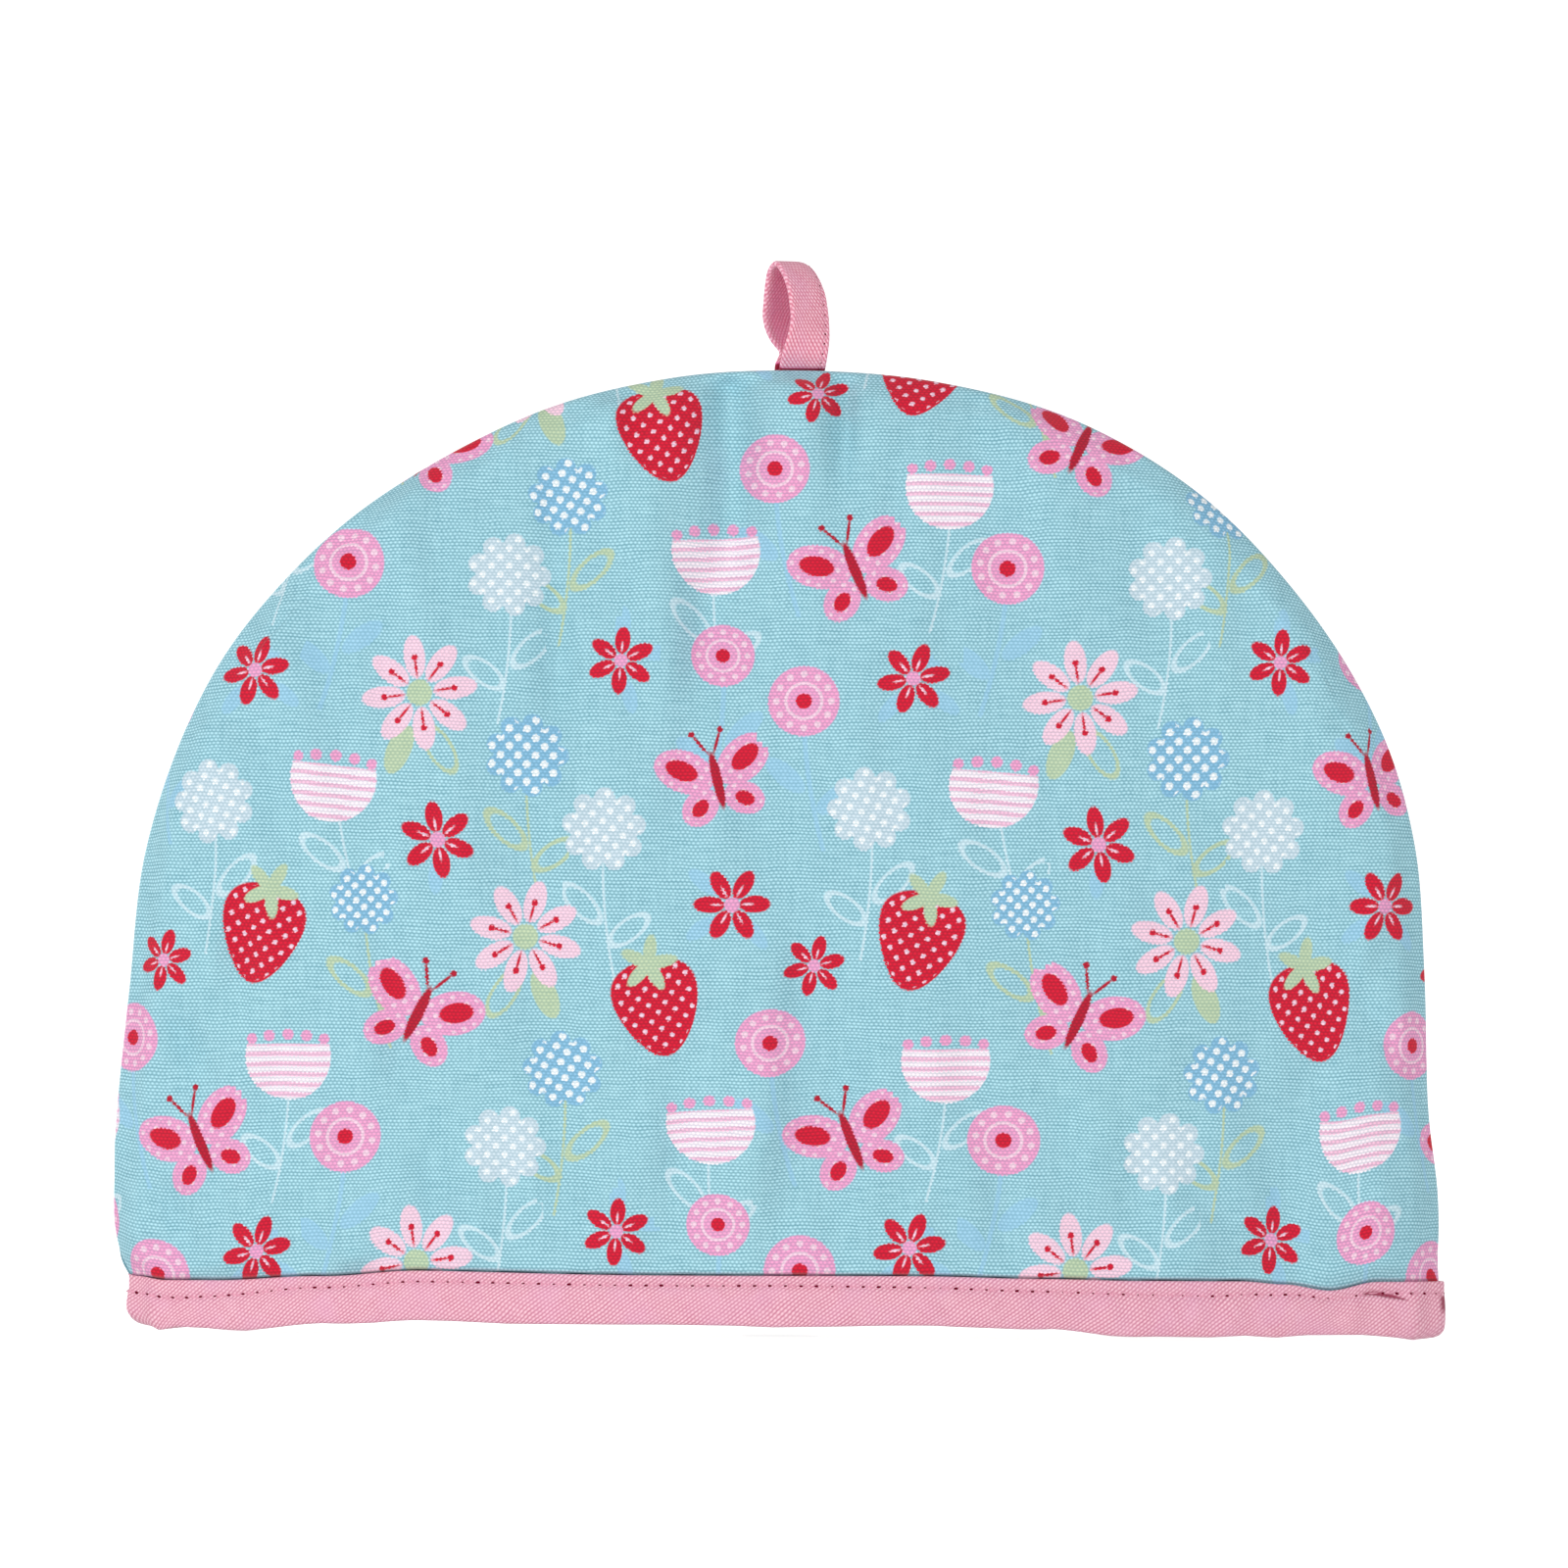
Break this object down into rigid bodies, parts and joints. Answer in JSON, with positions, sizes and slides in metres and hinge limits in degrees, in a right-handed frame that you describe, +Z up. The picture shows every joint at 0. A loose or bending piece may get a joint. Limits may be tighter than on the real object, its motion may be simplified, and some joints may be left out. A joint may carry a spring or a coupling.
{
  "type": "tea cosy",
  "caption": "Padded half-dome tea cosy of printed cotton canvas, open at its bound hem, with a cloth hanging loop at the top.",
  "frame": {"origin": "under the middle of the cosy, on the surface that its hem stands on", "axes": "+X along the hem to the right as seen from the front, +Y to the back, +Z up"},
  "size_m": [0.3428, 0.0904, 0.2763],
  "materials": {
    "printed_canvas": "matt cotton canvas, plain weave, printed",
    "pink_binding": "matt cotton cut on the bias",
    "pink_tape": "matt cotton, folded and stitched"
  },
  "bodies": {
    "root": {"front_panel": "printed_canvas", "back_panel": "printed_canvas", "hem_binding": "pink_binding", "hanging_loop": "pink_tape"}
  },
  "joints": []
}
